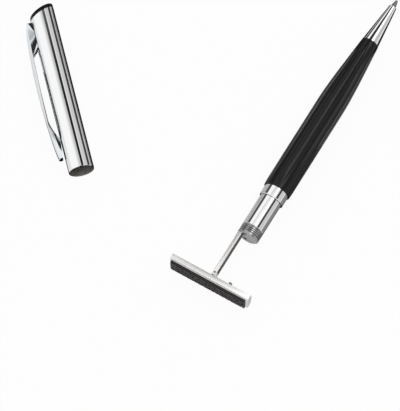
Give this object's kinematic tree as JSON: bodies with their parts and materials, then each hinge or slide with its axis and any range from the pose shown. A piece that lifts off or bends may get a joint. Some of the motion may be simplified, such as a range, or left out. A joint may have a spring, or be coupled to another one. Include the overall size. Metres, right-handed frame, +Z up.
{
  "type": "pen stamp",
  "caption": "Twist ballpoint pen with a folding text stamp in its rear half, opened, with its chrome clip cap lying beside it.",
  "frame": {"origin": "centre of the bounding box of pen and cap, on the table they lie on", "axes": "+Z up; the cap's axis lies along Y with its mouth towards -Y; the pen's axis lies in the XY plane, turned 44.1 degrees from it, with the stamp end towards -X and -Y"},
  "size_m": [0.1308, 0.1258, 0.0102],
  "materials": {
    "black_lacquer": "gloss black lacquer with fine grain",
    "chrome": "mirror chrome plating",
    "satin_steel": "satin turned steel",
    "light_alloy": "satin light metal casting",
    "brass": "bare turned brass",
    "spring_steel": "drawn spring steel",
    "black_rubber": "matt dark rubber",
    "foam_backing": "thin double-sided foam",
    "gloss_black": "gloss black insert",
    "black_plastic": "moulded black plastic",
    "white_plastic": "moulded white plastic",
    "ink_felt": "ink-soaked felt"
  },
  "bodies": {
    "barrel": {"nose_cone": "chrome", "thread_bush": "brass", "barrel": "black_lacquer", "guide_sleeve": "brass", "band": "chrome", "return_spring": "spring_steel"},
    "refill": {"tip_ball": "spring_steel", "refill_tip": "satin_steel", "refill_collar": "white_plastic", "refill_tube": "brass", "refill_plug": "white_plastic", "plunger": "black_plastic", "follower_pin": "spring_steel"},
    "stamp_unit": {"rotor": "brass", "retaining_ring": "spring_steel", "coupler_tube": "chrome", "ridged_collar": "satin_steel", "end_disc": "satin_steel", "stem": "light_alloy", "hinge_pin": "spring_steel", "leaf_spring": "spring_steel"},
    "stamp": {"stamp_plate": "light_alloy", "stop_peg": "satin_steel", "die_backing": "foam_backing", "text_die": "black_rubber"},
    "cap": {"cap_tube": "chrome", "cap_plug": "black_plastic", "top_insert": "gloss_black", "ink_tray": "black_plastic", "ink_pad": "ink_felt"},
    "clip": {"clip": "chrome"}
  },
  "joints": [
    {"name": "stamp_fold", "type": "hinge", "parent": "stamp_unit", "child": "stamp", "pos_m": [-0.02176, -0.04966, 0.0051], "axis": [0, 0, 1], "range_deg": [0, 90]},
    {"name": "twist", "type": "hinge", "parent": "barrel", "child": "stamp_unit", "pos_m": [0.00349, -0.02762, 0.0051], "axis": [0.6959, 0.7181, 0], "range_deg": [0, 180]},
    {"name": "refill_slide", "type": "slide", "parent": "barrel", "child": "refill", "axis": [-0.6959, -0.7181, 0], "range_m": [0, 0.005], "deforming": ["return_spring"]},
    {"name": "clip_flex", "type": "hinge", "parent": "cap", "child": "clip", "pos_m": [-0.06186, 0.05668, 0.00451], "axis": [0, 0, -1], "range_deg": [0, 4.5], "stiffness_Nm_per_rad": 5, "springref_deg": -0.23},
    {"name": "cap_lift", "type": "slide", "parent": "barrel", "child": "cap", "axis": [0, 0, 1], "range_m": [0, 0.06]}
  ],
  "couplings": [
    {"joint": "twist", "follows": "refill_slide", "rad_per_m": 628.32}
  ]
}
